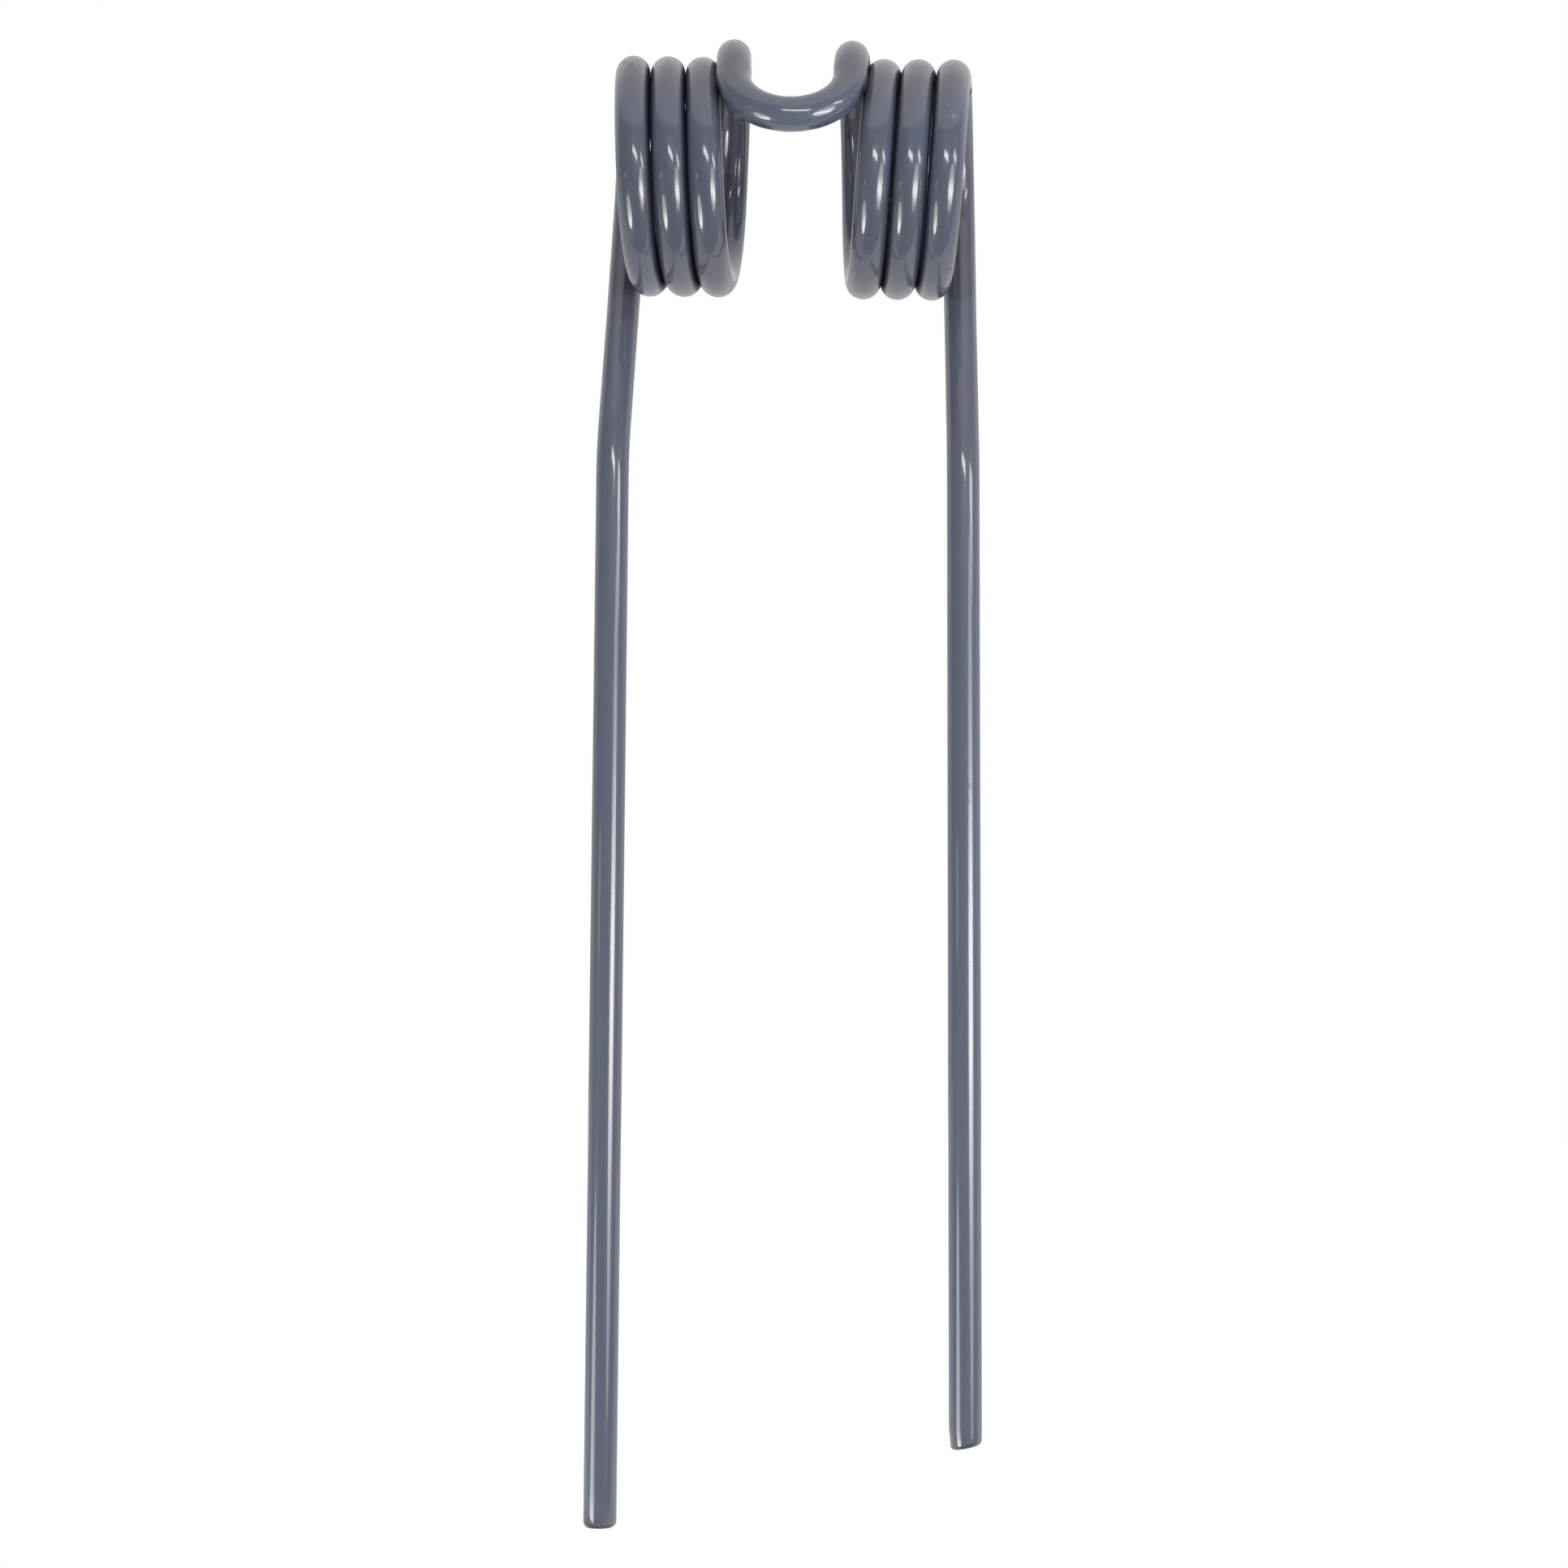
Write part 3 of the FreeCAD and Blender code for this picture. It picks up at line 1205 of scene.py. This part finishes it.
@dataclass(frozen=True)
class Floor:
    """A pale floor under the tips, its front edge out of the camera's sight.

    Attributes:
        height: its height in metres.
        front: depth in metres at which it starts.
        reach: half its side in metres.
        colour: its linear colour.
        lift: light added for the camera, so that it looks white but keeps the shadow of the tine.
        gleam: light added where the tine mirrors it.
    """

    height: float = -0.4078
    front: float = 0.03
    reach: float = 3.0
    colour: Colour = (0.70, 0.70, 0.70, 1.0)
    lift: float = 0.8
    gleam: float = 0.22

    def lay(self) -> bpy.types.Object:
        """Lay the floor.

        Returns:
            The floor.
        """
        clear_selection()
        bpy.ops.mesh.primitive_plane_add(
            size=2 * self.reach, location=(0.0, self.front + self.reach, self.height))
        floor = bpy.context.object
        floor.name = "floor"
        floor.data.materials.append(self.material())
        return floor

    def material(self) -> bpy.types.Material:
        """Make the floor's white.

        Returns:
            The material.
        """
        material = bpy.data.materials.new("pale_floor")
        material.use_nodes = True
        graph = NodeGraph(material.node_tree)
        matt = graph.add("ShaderNodeBsdfDiffuse", "matt floor", values={"Color": self.colour})
        seen = graph.add("ShaderNodeLightPath", "who looks")
        mirrored = graph.math("MULTIPLY", "in mirrors", seen.outputs["Is Glossy Ray"], self.gleam)
        strength = graph.math("MULTIPLY_ADD", "for the camera", seen.outputs["Is Camera Ray"],
                              self.lift, mirrored)
        lift = graph.add("ShaderNodeEmission", "lift to white", values={"Color": WHITE},
                         links={"Strength": strength})
        both = graph.add("ShaderNodeAddShader", "floor", links={0: matt.outputs[0], 1: lift.outputs[0]})
        graph.add("ShaderNodeOutputMaterial", "surface", links={"Surface": both.outputs[0]})
        return material


@dataclass(frozen=True)
class Surroundings:
    """Even light from all round: dim in front, lighter above and behind, a white table below behind.

    Each ramp gives a brightness over one part of the direction in which a ray goes.

    Attributes:
        wall: wall over the way back.
        ceiling: ceiling over the way up.
        table: white table over the way over its edge.
        table_edge: direction square to the edge.
        table_top: way up below which the table is seen.
        window_back: window high behind, over the way back.
        window_up: window high behind, over the way up.
    """

    wall: Ramp = Ramp(-0.1, 0.3, 0.25, 0.5)
    ceiling: Ramp = Ramp(0.52, 0.60, 0.25, 0.70)
    table: Ramp = Ramp(-0.02, 0.02, 0.0, 0.70)
    table_edge: Place = (0.0, 1.0, 0.11)
    table_top: float = -0.02
    window_back: Ramp = Ramp(0.10, 0.30)
    window_up: Ramp = Ramp(0.18, 0.26, 0.0, 0.62)

    def fill(self) -> None:
        """Make the world's background, white for the camera alone."""
        world = bpy.data.worlds.new("studio")
        world.use_nodes = True
        graph = NodeGraph(world.node_tree)
        place = graph.add("ShaderNodeTexCoord", "direction").outputs["Generated"]
        part = graph.parts("parts", place)
        behind = graph.rise("wall behind", part["Y"], self.wall)
        above = graph.rise("ceiling", part["Z"], self.ceiling)
        edge = graph.add("ShaderNodeVectorMath", "over the table's edge", {"operation": "DOT_PRODUCT"},
                         {1: self.table_edge}, {0: place})
        table = graph.math("MULTIPLY", "white table", graph.rise("table", edge.outputs["Value"], self.table),
                           graph.math("LESS_THAN", "only below", part["Z"], self.table_top))
        high = graph.math("MULTIPLY", "window high behind", graph.rise("behind", part["Y"], self.window_back),
                          graph.rise("high", part["Z"], self.window_up))
        dim = graph.math("MAXIMUM", "dim walls", behind, above)
        walls = graph.math("MAXIMUM", "walls", dim, high)
        around = graph.math("MAXIMUM", "all round", walls, table)
        seen = graph.add("ShaderNodeLightPath", "who looks").outputs["Is Camera Ray"]
        background = graph.add("ShaderNodeBackground", "surroundings", values={"Color": WHITE}, links={
            "Strength": graph.math("MAXIMUM", "white for the camera", around, seen)})
        graph.add("ShaderNodeOutputWorld", "world", links={"Surface": background.outputs[0]})
        bpy.context.scene.world = world


@dataclass(frozen=True)
class Camera:
    """The camera, where the photograph was taken from.

    Attributes:
        place: where it stands, in metres.
        turn: its rotation in degrees.
        focal_length: focal length of its lens in millimetres.
        sensor_width: width of its sensor in millimetres.
        nearest: distance in metres from which it sees.
    """

    place: Place = (0.024282, -0.838531, -0.278886)
    turn: Place = (95.3653, -1.1837, 1.4132)
    focal_length: float = 70.3346
    sensor_width: float = 36.0
    nearest: float = 0.01

    def stand(self) -> None:
        """Put the camera into the scene and look through it."""
        data = bpy.data.cameras.new("camera")
        data.sensor_width = self.sensor_width
        data.lens = self.focal_length
        data.clip_start = self.nearest
        camera = bpy.data.objects.new("camera", data)
        bpy.context.collection.objects.link(camera)
        camera.location = self.place
        camera.rotation_euler = [math.radians(turn) for turn in self.turn]
        bpy.context.scene.camera = camera


@dataclass(frozen=True)
class Studio:
    """Floor, surroundings, lamps and camera.

    The lamps stand about half a metre off, so the coils and the legs mirror different parts of them.

    Attributes:
        floor: the floor.
        surroundings: the light from all round.
        lamps: the lamps.
        camera: the camera.
    """

    floor: Floor = Floor()
    surroundings: Surroundings = Surroundings()
    lamps: tuple[Softbox, ...] = (
        Softbox("right_window", place=(0.400, -0.342, -0.226), aim=(0.0, 0.02, -0.226),
                width=0.31, height=0.42, radiance=1.75, roll=8.0, oval=True,
                glow=3.8, glow_height=0.48, glow_reach=0.32),
        Softbox("upper_right_bar", place=(0.645, -0.403, 0.06), aim=(0.0, 0.0, -0.02),
                width=0.27, height=0.09, radiance=5.5, roll=-17.0),
        Softbox("upper_front_bar", place=(0.0355, -0.339, 0.018), aim=(0.0, 0.0, -0.02),
                width=0.18, height=0.044, radiance=7.5, roll=-16.0),
        Softbox("left_window", place=(-0.490, -0.300, -0.527), aim=(0.0, 0.0, -0.25),
                width=0.32, height=0.41, radiance=2.4, roll=-12.0, oval=True,
                glow=2.9, glow_height=0.17, glow_reach=0.5),
        Softbox("left_spot", place=(-0.746, -0.503, -0.188), aim=(0.0, 0.0, -0.15),
                width=0.18, height=0.07, radiance=1.2),
    )
    camera: Camera = Camera()

    def build(self) -> None:
        """Set up everything round the tine."""
        self.floor.lay()
        self.surroundings.fill()
        for lamp in self.lamps:
            lamp.hang()
            log.info("lamp %s", lamp.name)
        self.camera.stand()


def main() -> None:
    """Build and dress the tine, then the studio round it."""
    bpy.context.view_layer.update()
    bpy.context.scene.view_settings.view_transform = "Standard"
    wire = TineWire().build()
    wire.data.materials.clear()
    wire.data.materials.append(GlossPaint().make())
    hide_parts("tine_wire")
    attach(wire, "root")
    log.info("wire: %d faces", len(wire.data.polygons))
    Studio().build()
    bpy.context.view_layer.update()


if __name__ == "__main__":
    main()
